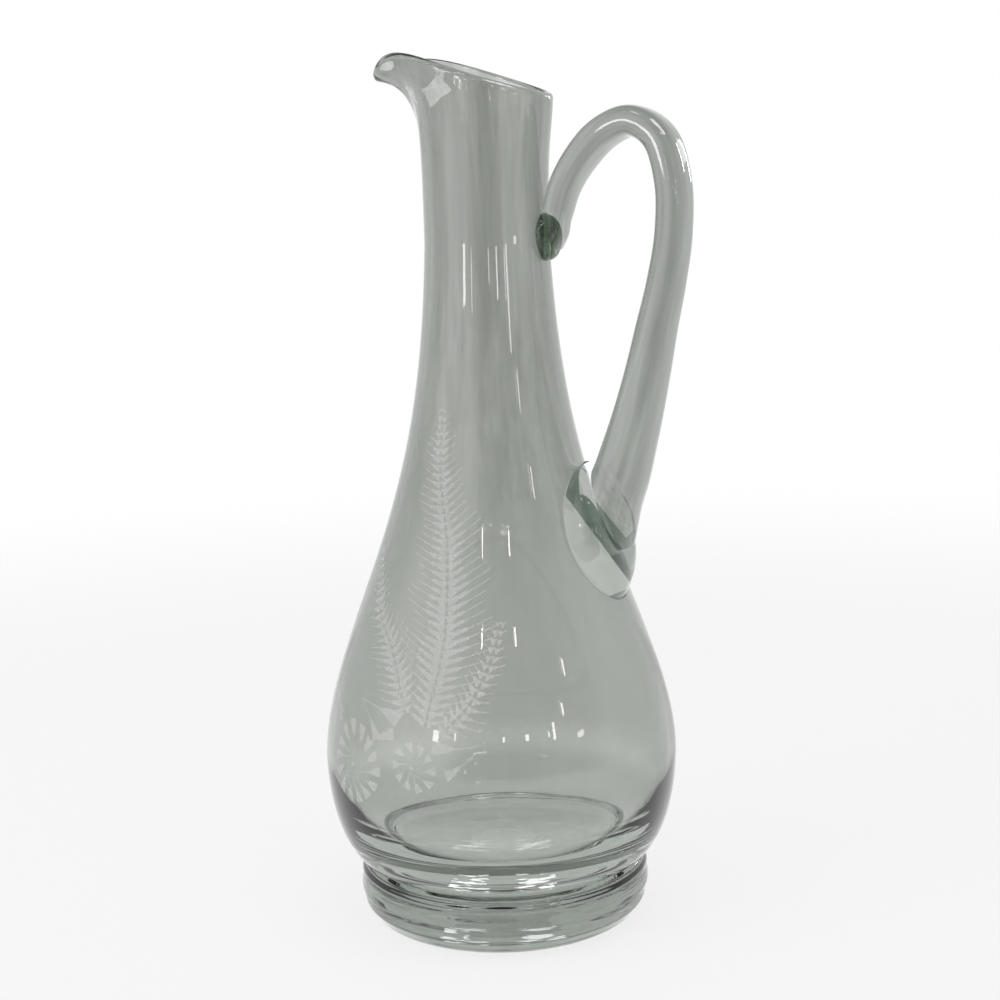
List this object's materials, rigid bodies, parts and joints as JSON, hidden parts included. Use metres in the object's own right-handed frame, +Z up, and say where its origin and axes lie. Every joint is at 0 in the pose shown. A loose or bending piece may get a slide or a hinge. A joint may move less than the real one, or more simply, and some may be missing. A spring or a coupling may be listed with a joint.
{
  "type": "long neck carafe",
  "caption": "Tall clear glass carafe with a pear-shaped bowl, a long narrow neck, a sloping mouth with a turned-out pouring lip, a looped strap handle and a thick round foot.",
  "frame": {"origin": "centre of the foot's flat ground underside, on the axis of the body, at the level of the table", "axes": "+Z up along the axis of the body, +X towards the handle, -X towards the pouring lip"},
  "size_m": [0.1256, 0.116, 0.2797],
  "materials": {
    "clear_glass": "clear blown soda glass, faint grey-green, fire polished, with a frosted etched spray on one side",
    "thick_glass": "clear cast glass, deeper grey-green where thick, tooled rings",
    "handle_glass": "clear drawn glass strap with soft long ridges",
    "seal_glass": "clear pressed glass dab, dark green at its edges"
  },
  "bodies": {
    "root": {"blown_body": "clear_glass", "foot": "thick_glass", "handle": "handle_glass", "handle_lower_pad": "seal_glass", "handle_upper_seal": "seal_glass"}
  },
  "joints": []
}
